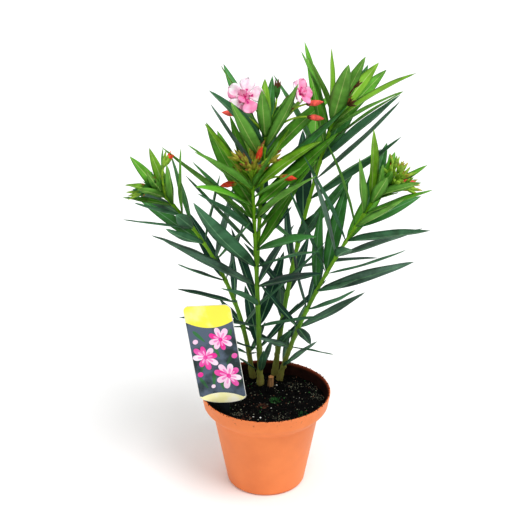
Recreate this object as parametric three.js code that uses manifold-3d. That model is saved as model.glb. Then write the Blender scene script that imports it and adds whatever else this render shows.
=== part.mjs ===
// Potted oleander: a young, several-stemmed plant in a round nursery pot, with its plant label.
// Millimetres, +Z up. The origin is the middle of the pot's flat underside.
// Each stem carries whorls of three leaves, and each whorl is turned by half a gap from the last.
import * as THREE from "three";
import { mergeVertices } from "three/addons/utils/BufferGeometryUtils.js";
import Module from "manifold-3d";

const wasm = await Module();
wasm.setup();

// ---- Driving dimensions ----

// The clear gap between two pieces that meet.
const GAP = 0.3;

const POT = {
  height: 108,
  rimRadius: 70,
  bandHeight: 13,
  bandFootRadius: 67.8,
  shoulderHeight: 15,
  shoulderSteps: 5,
  shoulderRadius: 57,
  baseRadius: 43,
  corner: 4,
  wall: 2.2,
  floor: 3.2,
  sides: 36,
  drainHoles: 6,
  drainRadius: 4,
  drainCircle: 27,
};

const SOIL = { top: 96, crown: 1.5, shoulder: 5 };

// The stump of an older shoot, cut off just above the soil.
const STUB = { foot: [5, 33.5], height: 10, lean: [0.8, -0.5], radius: 3.9, topRadius: 3.2 };

const LABEL = {
  width: 52,
  height: 113,
  thickness: 1,
  corner: 6,
  bottomRise: 8,
  stakeLength: 34,
  stakeTop: 6,
  stakeTip: 2.5,
  stakePoint: 6,
  place: [-44.5, -31, 109.5],
  lean: 9,
  turn: -14,
};

// A stem runs from foot to tip and bends towards its knee. Its whorls start at the share "first" of
// its length. Leaves are as long as "leaf" in the middle of the stem, and their share "young" at
// the tip, where they stand open by the angle "shut".
const STEMS = {
  front: {
    foot: [-6, 33], knee: [-9, 32, 215], tip: [-14, 28, 334],
    radius: 3.3, tipRadius: 1.6, whorls: 13, first: 0.07, turn: 30, seed: 1,
    leaf: 124, young: 0.6, shut: 42,
    masses: { foliage_front_lower: 6, foliage_front_upper: 7 },
  },
  top: {
    forkOf: "front", forkAt: 0.56, knee: [-7, 44, 300], tip: [0, 50, 384],
    radius: 2.4, tipRadius: 1.6, whorls: 8, first: 0.26, turn: 0, seed: 2,
    leaf: 112, young: 0.55, shut: 38,
    masses: { foliage_top: 8 },
  },
  right: {
    foot: [15, 44], knee: [38, 24, 204], tip: [117, 5, 336],
    radius: 2.9, tipRadius: 1.4, whorls: 13, first: 0.09, turn: 0, seed: 3,
    leaf: 106, young: 0.34, shut: 30,
    masses: { foliage_right_lower: 6, foliage_right_upper: 7 },
  },
  back: {
    foot: [10, 54], knee: [24, 62, 240], tip: [72, 68, 396],
    radius: 3.1, tipRadius: 1.6, whorls: 13, first: 0.12, turn: 30, seed: 64,
    leaf: 120, young: 0.66, shut: 34,
    masses: { foliage_back_lower: 4, foliage_back_middle: 4, foliage_back_upper: 5 },
  },
  left: {
    foot: [-15, 48], knee: [-26, 40, 232], tip: [-108, 10, 331],
    radius: 2.9, tipRadius: 1.4, whorls: 11, first: 0.12, turn: 30, seed: 35,
    leaf: 86, young: 0.42, shut: 28,
    masses: { foliage_left_lower: 5, foliage_left_upper: 6 },
  },
};

// The leaf habit that all stems share. Angles are in degrees, and shares are of a leaf's length.
const HABIT = {
  flare: 1.4,
  flareFade: 30,
  bareBelow: 0.03,
  lastWhorl: 0.985,
  gather: 1.6,
  open: 58,
  closing: 1.7,
  lowLeaf: 0.45,
  lowUntil: 0.35,
  youngFrom: 0.55,
  rootBend: -8,
  tipBend: 4,
  width: 0.148,
  youngWidth: 0.35,
  thickness: 1.6,
  fold: 0.3,
  bladeFrom: 0.25,
  turnSpread: 24,
  openSpread: 12,
  lengthSpread: 0.17,
  bendSpread: 16,
  rollSpread: 28,
  tries: 10,
  widerEachTry: 6,
};

// Flowers and red buds that stand on stalks from a stem's tip, by the place of their middle.
const BLOOMS = {
  top: [
    { place: [-21, 44, 421], size: 41, faces: [-0.25, -0.85, 0.45] },
    { place: [34, 50, 424], size: 32, faces: [0.75, -0.5, 0.45] },
  ],
};
const BUDS = {
  front: [[-7, 27, 366], [-39, 20, 336], [23, 20, 343]],
  top: [[-37, 42, 405], [50, 48, 414], [51, 46, 399]],
  right: [[142, 2, 344], [128, 12, 356]],
  back: [[86, 70, 418], [92, 66, 412]],
  left: [[-99, 10, 366], [-134, 7, 330]],
};
const BLOOM = { petals: 5, petalWidth: 0.8, petalThickness: 0.9, fold: 0.12, bend: 20, lift: 18, throat: 0.14 };
const BUD = { length: 17, radius: 2.8, stalkRadius: 0.9, sag: 0.25 };

// ---- Chance ----

// A repeatable share from 0 to 1 that depends only on the numbers given.
function chance(...keys) {
  const sum = keys.reduce((total, key, place) => total + key * (12.9898 + 65.2331 * place), 0);
  const value = Math.sin(sum) * 43758.5453;
  return value - Math.floor(value);
}

function spread(...keys) {
  return 2 * chance(...keys) - 1;
}

// ---- Solids ----

function solidOf(geometry) {
  const bare = geometry.clone();
  bare.deleteAttribute("normal");
  bare.deleteAttribute("uv");
  const merged = mergeVertices(bare, 1e-4);
  return new wasm.Manifold(
    new wasm.Mesh({
      numProp: 3,
      vertProperties: new Float32Array(merged.attributes.position.array),
      triVerts: new Uint32Array(merged.index.array),
    }),
  );
}

function geometryOf(solid) {
  const mesh = solid.getMesh();
  const geometry = new THREE.BufferGeometry();
  geometry.setAttribute("position", new THREE.BufferAttribute(mesh.vertProperties, mesh.numProp));
  geometry.setIndex(new THREE.BufferAttribute(mesh.triVerts, 1));
  geometry.computeVertexNormals();
  return geometry;
}

// Joins solids and keeps the largest body, so that no loose scrap is left.
function fused(solids) {
  const bodies = wasm.Manifold.union(solids).decompose();
  return bodies.reduce((largest, body) => (body.volume() > largest.volume() ? body : largest));
}

function boxesMeet(a, b) {
  const p = a.boundingBox();
  const q = b.boundingBox();
  return [0, 1, 2].every((axis) => p.min[axis] <= q.max[axis] && q.min[axis] <= p.max[axis]);
}

function touches(solid, others) {
  return others.some((other) => boxesMeet(solid, other) && !solid.intersect(other).isEmpty());
}

// Moves each vertex of a geometry to the place that a function gives for it.
function reshaped(geometry, place) {
  const positions = geometry.attributes.position;
  const vertex = new THREE.Vector3();
  for (let i = 0; i < positions.count; i += 1) {
    vertex.fromBufferAttribute(positions, i);
    const moved = place(vertex);
    positions.setXYZ(i, moved.x, moved.y, moved.z);
  }
  return geometry;
}

// ---- Stems ----

const CUT = SOIL.top + GAP;
const FORWARD = new THREE.Vector3(0, -1, 0);

// Two directions square to a stem's run: the first looks forward, the second to its side.
function across(run) {
  const first = FORWARD.clone().addScaledVector(run, -FORWARD.dot(run)).normalize();
  return [first, run.clone().cross(first)];
}

function curveOf(stem) {
  const foot = stem.forkOf
    ? curveOf(STEMS[stem.forkOf]).getPoint(stem.forkAt)
    : new THREE.Vector3(...stem.foot, CUT);
  return new THREE.QuadraticBezierCurve3(foot, new THREE.Vector3(...stem.knee), new THREE.Vector3(...stem.tip));
}

function radiusOn(stem, t) {
  const flare = stem.forkOf ? 0 : HABIT.flare * Math.exp(-t * HABIT.flareFade);
  return stem.radius + (stem.tipRadius - stem.radius) * t + flare;
}

// A tapering length of stem between two shares of its curve, with the first one cut level if asked.
function limb(curve, from, to, radius, steps, level = false, sides = 6) {
  const rod = new THREE.CylinderGeometry(1, 1, 1, sides, steps);
  return solidOf(
    reshaped(rod, (vertex) => {
      const t = from + (to - from) * (vertex.y + 0.5);
      const [first, second] = across(curve.getTangent(t));
      const point = curve.getPoint(t);
      point.addScaledVector(second, vertex.x * radius(t));
      point.addScaledVector(first, vertex.z * radius(t));
      if (level && vertex.y === -0.5) {
        point.z = CUT;
      }
      return point;
    }),
  );
}

// The share of the stem at which a whorl stands: whorls close up towards the tip.
function whorlAt(stem, whorl) {
  const share = whorl / (stem.whorls - 1);
  return stem.first + (HABIT.lastWhorl - stem.first) * (1 - (1 - share) ** HABIT.gather);
}

// ---- Leaves ----

function leafWidth(u) {
  return Math.sin(Math.PI * u ** 0.85) ** 0.8;
}

function petalWidth(u) {
  return Math.sin(Math.PI * u ** 1.9) ** 0.7;
}

// A thin solid blade on an arc. It starts at its root, runs along, and bends towards "outward".
function blade({ root, along, outward, length, width, thickness, bend, roll, fold, outline, from = 0, more = 0 }) {
  const side = along.clone().cross(outward);
  const ball = new THREE.SphereGeometry(1, 4, 5);
  const shaped = reshaped(ball, (vertex) => {
    const u = from + (1 - from) * (Math.acos(-THREE.MathUtils.clamp(vertex.y, -1, 1)) / Math.PI);
    const ring = Math.hypot(vertex.x, vertex.z);
    const angle = bend * u;
    const reach = Math.abs(bend) > 1e-4 ? Math.sin(angle) / bend : u;
    const rise = Math.abs(bend) > 1e-4 ? (1 - Math.cos(angle)) / bend : 0;
    const under = outward.clone().multiplyScalar(Math.cos(angle)).addScaledVector(along, -Math.sin(angle));
    const edge = side.clone().multiplyScalar(Math.cos(roll)).addScaledVector(under, Math.sin(roll));
    const face = under.multiplyScalar(Math.cos(roll)).addScaledVector(side, -Math.sin(roll));
    const point = root.clone().addScaledVector(along, length * reach).addScaledVector(outward, length * rise);
    if (ring < 1e-6) {
      return point;
    }
    const half = (width * outline(THREE.MathUtils.clamp(u, 0, 1))) / 2 + more;
    const x = vertex.x / ring;
    const z = vertex.z / ring;
    point.addScaledVector(edge, x * half);
    return point.addScaledVector(face, z * (thickness / 2 + more) - Math.abs(x) * half * fold);
  });
  return solidOf(shaped);
}

// One draw for a leaf. A later try stands a little further from its regular place.
function drawnLeaf(stem, curve, whorl, leaf, attempt) {
  const share = whorl / (stem.whorls - 1);
  const keys = [stem.seed, whorl, leaf, attempt];
  const t = whorlAt(stem, whorl);
  const run = curve.getTangent(t);
  const [first, second] = across(run);
  const radians = THREE.MathUtils.degToRad;
  const sway = HABIT.turnSpread + HABIT.widerEachTry * attempt;
  const turn = radians(stem.turn + 60 * whorl + 120 * leaf + sway * spread(...keys, 1));
  const open = radians(
    HABIT.open + (stem.shut - HABIT.open) * share ** HABIT.closing + HABIT.openSpread * spread(...keys, 2),
  );
  const low = HABIT.lowLeaf + (1 - HABIT.lowLeaf) * Math.min(1, share / HABIT.lowUntil);
  const late = Math.max(0, (share - HABIT.youngFrom) / (1 - HABIT.youngFrom)) ** 1.3;
  const age = 1 - (1 - stem.young) * late;
  const full = stem.leaf * low * (1 + HABIT.lengthSpread * spread(...keys, 3));
  const outward = first.clone().multiplyScalar(Math.cos(turn)).addScaledVector(second, Math.sin(turn));
  const bend = HABIT.rootBend + (HABIT.tipBend - HABIT.rootBend) * share;
  return {
    root: curve.getPoint(t),
    along: run.clone().multiplyScalar(Math.cos(open)).addScaledVector(outward, Math.sin(open)),
    outward: outward.multiplyScalar(Math.cos(open)).addScaledVector(run, -Math.sin(open)),
    length: full * age,
    width: full * HABIT.width * age ** HABIT.youngWidth,
    thickness: HABIT.thickness,
    bend: radians(bend + HABIT.bendSpread * spread(...keys, 4)),
    roll: radians(HABIT.rollSpread * spread(...keys, 5)),
    fold: HABIT.fold,
    outline: leafWidth,
  };
}

// ---- Flowers and buds ----

// A stalk that leaves the stem's tip along its run and curves to the place of its bud.
function stalkTo(curve, place) {
  const tip = curve.getPoint(0.97);
  const reach = tip.distanceTo(place);
  const knee = tip.clone().lerp(place, 0.45).addScaledVector(curve.getTangent(0.97), reach * BUD.sag);
  return new THREE.QuadraticBezierCurve3(tip, knee, place);
}

function budSolids(curve, place) {
  const stalk = stalkTo(curve, place);
  const run = stalk.getTangent(1);
  const [first, second] = across(run);
  const ball = new THREE.SphereGeometry(1, 5, 4);
  const bud = reshaped(ball, (vertex) => {
    const point = place.clone().addScaledVector(run, (vertex.y * BUD.length) / 2);
    point.addScaledVector(second, vertex.x * BUD.radius);
    return point.addScaledVector(first, vertex.z * BUD.radius);
  });
  return [limb(stalk, 0, 0.96, () => BUD.stalkRadius, 3, false, 4), solidOf(bud)];
}

function bloomSolids(curve, bloom) {
  const place = new THREE.Vector3(...bloom.place);
  const axis = new THREE.Vector3(...bloom.faces).normalize();
  const back = place.clone().addScaledVector(axis, -bloom.size * 0.3);
  const [first, second] = across(axis);
  const lift = THREE.MathUtils.degToRad(BLOOM.lift);
  const stalk = stalkTo(curve, back);
  const throat = new THREE.LineCurve3(back, place.clone().addScaledVector(axis, 1));
  const solids = [
    limb(stalk, 0, 1, () => BUD.stalkRadius, 3, false, 4),
    limb(throat, 0, 1, (t) => BUD.stalkRadius + bloom.size * BLOOM.throat * t * 0.6, 2),
  ];
  for (let petal = 0; petal < BLOOM.petals; petal += 1) {
    const turn = (2 * Math.PI * petal) / BLOOM.petals;
    const out = first.clone().multiplyScalar(Math.cos(turn)).addScaledVector(second, Math.sin(turn));
    solids.push(
      blade({
        root: place.clone().addScaledVector(axis, -0.5),
        along: out.clone().multiplyScalar(Math.cos(lift)).addScaledVector(axis, Math.sin(lift)),
        outward: axis.clone().multiplyScalar(-Math.cos(lift)).addScaledVector(out, Math.sin(lift)),
        length: bloom.size / 2,
        width: (bloom.size / 2) * BLOOM.petalWidth,
        thickness: BLOOM.petalThickness,
        bend: THREE.MathUtils.degToRad(BLOOM.bend),
        roll: 0,
        fold: BLOOM.fold,
        outline: petalWidth,
      }),
    );
  }
  return solids;
}

// ---- Pot, soil and label ----

function potOuter() {
  const bandFoot = POT.height - POT.bandHeight;
  const waist = bandFoot - POT.shoulderHeight;
  const swing = Array.from({ length: POT.shoulderSteps - 1 }, (unused, step) => {
    const share = (step + 1) / POT.shoulderSteps;
    const out = (POT.bandFootRadius - POT.shoulderRadius) * THREE.MathUtils.smoothstep(share, 0, 1);
    return [POT.shoulderRadius + out, waist + POT.shoulderHeight * share];
  });
  return [
    [POT.baseRadius - POT.corner, 0],
    [POT.baseRadius - POT.corner * 0.3, POT.corner * 0.3],
    [POT.baseRadius, POT.corner],
    [POT.shoulderRadius, waist],
    ...swing,
    [POT.bandFootRadius, bandFoot],
    [POT.rimRadius, POT.height - 1.2],
    [POT.rimRadius - 0.7, POT.height],
  ];
}

// The radius of the pot's cavity at a height, and the height may be in the rim.
function cavityRadius(z) {
  const points = potOuter();
  const next = points.findIndex(([, height]) => height >= z);
  const [lowRadius, low] = points[next - 1];
  const [highRadius, high] = points[next];
  return lowRadius + ((highRadius - lowRadius) * (z - low)) / (high - low) - POT.wall;
}

function potSolid() {
  const outer = potOuter();
  const levels = outer.map(([, z]) => z).filter((z) => z > POT.floor && z < POT.height - POT.wall);
  const inner = [POT.height, ...levels.reverse(), POT.floor].map((z) => [cavityRadius(z), z]);
  const profile = [[0, 0], ...outer, ...inner, [0, POT.floor]].map(([r, z]) => new THREE.Vector2(r, z));
  const shell = new THREE.LatheGeometry(profile, POT.sides).rotateX(Math.PI / 2);
  const holes = Array.from({ length: POT.drainHoles }, (unused, hole) => {
    const turn = (2 * Math.PI * hole) / POT.drainHoles;
    const drill = new THREE.CylinderGeometry(POT.drainRadius, POT.drainRadius, 4 * POT.floor, 10);
    drill.rotateX(Math.PI / 2);
    drill.translate(POT.drainCircle * Math.cos(turn), POT.drainCircle * Math.sin(turn), 0);
    return solidOf(drill);
  });
  return solidOf(shell).subtract(wasm.Manifold.union(holes));
}

function soilSolid(stake) {
  const levels = potOuter().map(([, z]) => z).filter((z) => z > POT.floor + 1 && z < SOIL.top - 3);
  const walls = [POT.floor + GAP, ...levels, SOIL.top - SOIL.crown].map((z) => [cavityRadius(z) - GAP, z]);
  const edge = walls.at(-1)[0] - SOIL.shoulder;
  const profile = [[0, POT.floor + GAP], ...walls, [edge, SOIL.top], [0, SOIL.top]];
  const plug = new THREE.LatheGeometry(profile.map(([r, z]) => new THREE.Vector2(r, z)), POT.sides);
  return solidOf(plug.rotateX(Math.PI / 2)).subtract(stake);
}

function labelOutline(more = 0) {
  const half = LABEL.width / 2 + more;
  const top = LABEL.height + more;
  const stake = LABEL.stakeTop + more;
  const tip = LABEL.stakeTip + more;
  const shape = new THREE.Shape();
  const rise = (x) => LABEL.bottomRise * (1 - Math.sqrt(1 - (x / half) ** 2)) - more;
  shape.moveTo(stake, rise(stake));
  shape.lineTo(tip, -LABEL.stakeLength + LABEL.stakePoint);
  shape.lineTo(0, -LABEL.stakeLength - more);
  shape.lineTo(-tip, -LABEL.stakeLength + LABEL.stakePoint);
  shape.lineTo(-stake, rise(stake));
  for (const share of [0.5, 0.75, 0.9, 1]) {
    shape.lineTo(-half * share, rise(half * share));
  }
  shape.lineTo(-half, top - LABEL.corner);
  shape.absarc(-half + LABEL.corner, top - LABEL.corner, LABEL.corner, Math.PI, Math.PI / 2, true);
  shape.absarc(half - LABEL.corner, top - LABEL.corner, LABEL.corner, Math.PI / 2, 0, true);
  for (const share of [1, 0.9, 0.75, 0.5]) {
    shape.lineTo(half * share, rise(half * share));
  }
  shape.closePath();
  return shape;
}

// The label as it is cut, standing upright over the origin with its face forward.
function labelGeometry(more = 0) {
  const depth = LABEL.thickness + 2 * more;
  const plate = new THREE.ExtrudeGeometry(labelOutline(more), { depth, bevelEnabled: false, curveSegments: 4 });
  return plate.translate(0, 0, -depth / 2).rotateX(Math.PI / 2);
}

// ---- The parts, put together ----

const oleander = new THREE.Group();

function addPiece(name, geometry, color, roughness) {
  const material = new THREE.MeshStandardMaterial({ color, roughness, metalness: 0 });
  const mesh = new THREE.Mesh(geometry, material);
  mesh.name = name;
  oleander.add(mesh);
  return mesh;
}

const label = addPiece("label", labelGeometry(), "#5d6f86", 0.35);
label.position.set(...LABEL.place);
label.rotation.set(0, THREE.MathUtils.degToRad(-LABEL.lean), THREE.MathUtils.degToRad(LABEL.turn), "ZYX");
label.updateMatrix();
const labelSolid = solidOf(labelGeometry().applyMatrix4(label.matrix));
const stakeRoom = solidOf(labelGeometry(GAP).applyMatrix4(label.matrix));

const pot = potSolid();
const soil = soilSolid(stakeRoom);
addPiece("pot", geometryOf(pot), "#dc8250", 0.6);
addPiece("soil", geometryOf(soil), "#1d1713", 0.95);

const stubFoot = new THREE.Vector3(...STUB.foot, CUT);
const stubTop = stubFoot.clone().add(new THREE.Vector3(...STUB.lean, STUB.height));
const stubRadius = (t) => STUB.radius + (STUB.topRadius - STUB.radius) * t;
const stub = limb(new THREE.LineCurve3(stubFoot, stubTop), 0, 1, stubRadius, 1, true, 8);
addPiece("cut_stub", geometryOf(stub), "#b5713d", 0.8);

// Everything that stands so far, by node, so that later pieces keep clear of it.
const nodes = { pot: [pot], soil: [soil], label: [labelSolid], cut_stub: [stub] };
const growth = [];

for (const [name, stem] of Object.entries(STEMS)) {
  const curve = curveOf(stem);
  const radius = (t) => radiusOn(stem, t);
  const halfGap = GAP / 2 / curve.getLength();
  let from = whorlAt(stem, 0) - HABIT.bareBelow;
  const bare = limb(curve, 0, from - halfGap, radius, 5, !stem.forkOf, 8);
  const node = stem.forkOf ? `bough_${name}` : `stem_${name}`;
  if (stem.forkOf) {
    const parent = STEMS[stem.forkOf];
    const room = limb(curveOf(parent), 0.3, 0.8, (t) => radiusOn(parent, t) + GAP, 12);
    nodes[node] = [fused([bare.subtract(room)])];
  } else {
    nodes[node] = [bare];
  }
  addPiece(node, geometryOf(nodes[node][0]), "#6f8a3a", 0.6);

  let whorl = 0;
  for (const [mass, whorls] of Object.entries(stem.masses)) {
    const last = whorl + whorls === stem.whorls;
    const to = last ? 1 : (whorlAt(stem, whorl + whorls - 1) + whorlAt(stem, whorl + whorls)) / 2;
    nodes[mass] = [limb(curve, from + halfGap, last ? to : to - halfGap, radius, 2 * whorls)];
    if (last) {
      const buds = (BUDS[name] ?? []).flatMap((place) => budSolids(curve, new THREE.Vector3(...place)));
      const blooms = (BLOOMS[name] ?? []).flatMap((bloom) => bloomSolids(curve, bloom));
      nodes[mass].push(...buds, ...blooms);
    }
    growth.push({ mass, stem, curve, whorls: Array.from({ length: whorls }, (unused, i) => whorl + i) });
    from = to;
    whorl += whorls;
  }
}

// Leaves grow from each mass's youngest whorl down. One that would touch another node, or cross a
// leaf of its own mass, is drawn again a few times and is then skipped.
for (const { mass, stem, curve, whorls } of growth) {
  const crowded = nodes[mass].slice(1);
  for (const whorl of whorls.toReversed()) {
    for (let leaf = 0; leaf < 3; leaf += 1) {
      for (let attempt = 0; attempt < HABIT.tries; attempt += 1) {
        const shape = drawnLeaf(stem, curve, whorl, leaf, attempt);
        const others = Object.keys(nodes).filter((name) => name !== mass).flatMap((name) => nodes[name]);
        const free = blade({ ...shape, from: HABIT.bladeFrom, more: GAP });
        if (!touches(blade({ ...shape, more: GAP }), others) && !touches(free, crowded)) {
          nodes[mass].push(blade(shape));
          crowded.push(blade({ ...shape, from: HABIT.bladeFrom }));
          break;
        }
      }
    }
  }
}

for (const { mass } of growth) {
  addPiece(mass, geometryOf(fused(nodes[mass])), "#2f6b34", 0.5);
}

export default oleander;
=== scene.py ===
from math import cos, exp, floor, hypot, pi, radians, sin, sqrt, tau
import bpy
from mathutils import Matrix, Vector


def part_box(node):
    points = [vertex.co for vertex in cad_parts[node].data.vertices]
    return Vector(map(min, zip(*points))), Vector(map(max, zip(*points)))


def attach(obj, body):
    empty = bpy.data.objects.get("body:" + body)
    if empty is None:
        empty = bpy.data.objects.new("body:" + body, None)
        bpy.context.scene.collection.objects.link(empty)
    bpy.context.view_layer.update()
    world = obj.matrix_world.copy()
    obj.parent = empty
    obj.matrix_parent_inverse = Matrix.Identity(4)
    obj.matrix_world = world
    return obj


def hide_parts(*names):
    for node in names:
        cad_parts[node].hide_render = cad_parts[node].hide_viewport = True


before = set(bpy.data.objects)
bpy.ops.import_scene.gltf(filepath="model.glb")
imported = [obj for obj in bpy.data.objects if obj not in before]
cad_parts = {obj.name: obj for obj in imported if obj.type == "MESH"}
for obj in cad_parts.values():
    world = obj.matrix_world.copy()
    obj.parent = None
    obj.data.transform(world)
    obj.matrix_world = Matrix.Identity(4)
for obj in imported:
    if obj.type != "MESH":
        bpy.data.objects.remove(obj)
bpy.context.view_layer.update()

from types import SimpleNamespace

import bmesh
import bpy
from bpy.props import FloatProperty, FloatVectorProperty, IntProperty, PointerProperty
from mathutils import Matrix, Vector, noise
from mathutils.kdtree import KDTree

bl_info = {
    "name": "Potted oleander",
    "version": (1, 0, 0),
    "blender": (4, 5, 0),
    "location": "3D View > Sidebar > Oleander",
    "description": "Leaves, bark, blossom, pot, soil and label for the solids of a potted oleander",
    "category": "Add Mesh",
}

MM = 0.001  # metres in a millimetre: pieces are modelled in millimetres and scaled once, at the end
WELD = 1e-4  # millimetres within which points are made one

# ---- Growth, in millimetres and degrees, by the same rule as the solids ----

SOIL_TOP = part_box("soil")[1][2] / MM
CUT = SOIL_TOP + 0.3  # where the stems' feet stand, just clear of the soil
WHORL = 3  # leaves in a whorl
GOLDEN = 137.5  # degrees from one small leaf or stalk to the next round a tip

STEMS = {
    "front": dict(
        foot=(-6, 33), knee=(-9, 32, 215), tip=(-14, 28, 334),
        radius=3.3, tip_radius=1.6, whorls=13, first=0.07, turn=30, seed=1,
        leaf=124, young=0.6, shut=42,
        masses=(("foliage_front_lower", 6), ("foliage_front_upper", 7)),
    ),
    "top": dict(
        fork_of="front", fork_at=0.56, knee=(-7, 44, 300), tip=(0, 50, 384),
        radius=2.4, tip_radius=1.6, whorls=8, first=0.26, turn=0, seed=2,
        leaf=112, young=0.55, shut=38,
        masses=(("foliage_top", 8),),
    ),
    "right": dict(
        foot=(15, 44), knee=(38, 24, 204), tip=(117, 5, 336),
        radius=2.9, tip_radius=1.4, whorls=13, first=0.09, turn=0, seed=3,
        leaf=106, young=0.34, shut=30,
        masses=(("foliage_right_lower", 6), ("foliage_right_upper", 7)),
    ),
    "back": dict(
        foot=(10, 54), knee=(24, 62, 240), tip=(72, 68, 396),
        radius=3.1, tip_radius=1.6, whorls=13, first=0.12, turn=30, seed=64,
        leaf=120, young=0.66, shut=34,
        masses=(("foliage_back_lower", 4), ("foliage_back_middle", 4), ("foliage_back_upper", 5)),
    ),
    "left": dict(
        foot=(-15, 48), knee=(-26, 40, 232), tip=(-108, 10, 331),
        radius=2.9, tip_radius=1.4, whorls=11, first=0.12, turn=30, seed=35,
        leaf=86, young=0.42, shut=28,
        masses=(("foliage_left_lower", 5), ("foliage_left_upper", 6)),
    ),
}

HABIT = SimpleNamespace(
    flare=1.4, flare_fade=30, last_whorl=0.985,
    gather=1.6, open=58, closing=1.7, low_leaf=0.45, low_until=0.35, young_from=0.55, ageing=1.3,
    root_bend=-8, tip_bend=4, width=0.148, young_width=0.35, fold=0.3,
    turn_spread=24, open_spread=12, length_spread=0.17, bend_spread=16, roll_spread=28,
    tries=10, wider_each_try=6, same_tip=0.05,
)

BLOOMS = {
    "top": (
        dict(place=(-21, 44, 421), size=41, faces=(-0.25, -0.85, 0.45), lift=18, deep=(0,)),
        dict(place=(34, 50, 424), size=32, faces=(0.75, -0.5, 0.45), lift=34, deep=(1, 2, 3)),
    ),
}
BUDS = {
    "front": ((-7, 27, 366), (-39, 20, 336), (23, 20, 343)),
    "top": ((-37, 42, 405), (50, 48, 414), (51, 46, 399)),
    "right": ((142, 2, 344), (128, 12, 356)),
    "back": ((86, 70, 418), (92, 66, 412)),
    "left": ((-99, 10, 366), (-134, 7, 330)),
}
BLOOM = SimpleNamespace(
    petals=5, petal_width=0.84, fold=0.12, bend=20, roll=9, lift_spread=0.12,
    inner=3, inner_size=0.55, inner_lift=0.75, throat=0.077, throat_foot=0.8, depth=0.3,
)
BUD = SimpleNamespace(length=17, radius=2.8, plump=1.12, seat=0.45, stalk=0.9, sag=0.25, leaves_at=0.97)
SPRAY = SimpleNamespace(root=0.985, own_aim=0.65, shortest=0.75, knee=0.45, overlap=0.6, stalk=1.4, taper=0.5)
TUFT = SimpleNamespace(
    leaves=7, lowest=0.955, higher=0.04, turn=60, length=15, longer=15, width=0.2,
    open=20, wider=24, bend=12, roll=20, fold=0.35,
)

# ---- The pot, the soil, the stump and the label, in millimetres and degrees ----

RIM = Vector(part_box("pot")[1]) / MM
POT = SimpleNamespace(
    rim=RIM.x, height=RIM.z, band=13, band_foot=67.8, waist=57,
    waist_height=80, base=43, corner=4, lip=0.9, floor=3.2, inner_foot=3.4,
)
DRAIN = SimpleNamespace(holes=6, radius=4, circle=27)
SOIL = SimpleNamespace(gap=0.25, plug_gap=0.3, sunk=0.8, heap=1.6, heap_width=7, rim_dip=1.2, foot=3.5)
STUB = SimpleNamespace(foot=(5, 33.5), height=10, lean=(0.8, -0.5), radius=3.9, top=3.2)
LABEL = SimpleNamespace(
    width=52, height=113, corner=6, rise=8, stake=34, stake_top=6, stake_tip=2.5, point=6,
    place=(-44.5, -31, 109.5), lean=9, turn=-14,
)


# ---- Settings ----


def colour(name, description, default):
    return FloatVectorProperty(
        name=name, description=description, default=default, subtype="COLOR", size=3, min=0, max=1
    )


def measure(name, description, default):
    return FloatProperty(name=name, description=description, default=default, unit="LENGTH")


def number(name, description, default, least):
    return IntProperty(name=name, description=description, default=default, min=least)


def strength(name, description, default):
    return FloatProperty(name=name, description=description, default=default, min=0)


class OleanderPotSettings(bpy.types.PropertyGroup):
    wall: measure("Wall", "Thickness of the pot's wall", 0.0022)
    ridge: measure("Ridge", "How far the ring round the body stands out", 0.0005)
    ridge_height: measure("Ridge height", "How high up the ring is", 0.079)
    steps: number("Steps", "Faces round the pot", 128, 24)
    shell: colour("Shell", "Colour of the outside", (0.74, 0.215, 0.068))
    warm: colour("Worn shell", "Paler colour where the outside is handled", (0.84, 0.262, 0.086))
    # Painted shade: the inner wall's colour is made nearly black for the shade inside the pot
    inside: colour("Inside", "Colour of the inner wall", (0.030, 0.008, 0.005))


class OleanderSoilSettings(bpy.types.PropertyGroup):
    relief: measure("Relief", "Height of the soil's unevenness", 0.0024)
    crumbs: number("Crumbs", "Number of loose crumbs on the soil", 2400, 0)
    lip_crumbs: number("Crumbs on the lip", "Number of crumbs on the lip", 400, 0)
    crumb: measure("Crumb size", "Size of a common crumb", 0.0022)
    dark: colour("Compost", "Colour of the damp compost", (0.0045, 0.0040, 0.0042))
    brown: colour("Bark crumbs", "Colour of the bark crumbs", (0.180, 0.080, 0.050))
    grey: colour("Dry crumbs", "Colour of dry crumbs", (0.210, 0.210, 0.155))
    moss: colour("Moss", "Colour of the moss tufts", (0.040, 0.150, 0.042))


class OleanderLabelSettings(bpy.types.PropertyGroup):
    thickness: measure("Thickness", "Thickness of the card", 0.0009)
    print_height: measure("Print", "Thickness of the print", 0.00008)
    ground: colour("Ground", "Ground colour of the picture", (0.100, 0.135, 0.190))
    band: colour("Band", "Colour of the head band", (0.98, 0.88, 0.09))
    cream: colour("Foot", "Colour of the foot", (0.98, 0.94, 0.50))
    pale: colour("Pale petals", "Colour of pale petals", (0.93, 0.62, 0.80))
    middle: colour("Petal marks", "Colour of the marks on the petals", (0.86, 0.27, 0.58))
    deep: colour("Deep petals", "Colour of deep petals", (0.84, 0.03, 0.33))
    leaf: colour("Leaves", "Colour of the leaves", (0.04, 0.19, 0.06))
    stake: colour("Stake", "Colour of the stake", (0.012, 0.014, 0.016))


class OleanderStemSettings(bpy.types.PropertyGroup):
    node_swell: measure("Nodes", "How far a node stands out", 0.0006)
    ridges: measure("Bark ridges", "Depth of the bark's ridges", 0.00022)
    lumps: measure("Lumps", "Height of the lumps at the foot", 0.0009)
    sides: number("Sides", "Faces round a stem", 16, 6)
    bright: colour("Young bark", "Colour of the bark near the tips", (0.27, 0.56, 0.032))
    green: colour("Green bark", "Colour of the bark half way up", (0.160, 0.36, 0.040))
    brown: colour("Old bark", "Colour of old bark at the foot", (0.29, 0.25, 0.075))
    cut: colour("Cut wood", "Colour of the stump's cut", (0.62, 0.30, 0.12))


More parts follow.
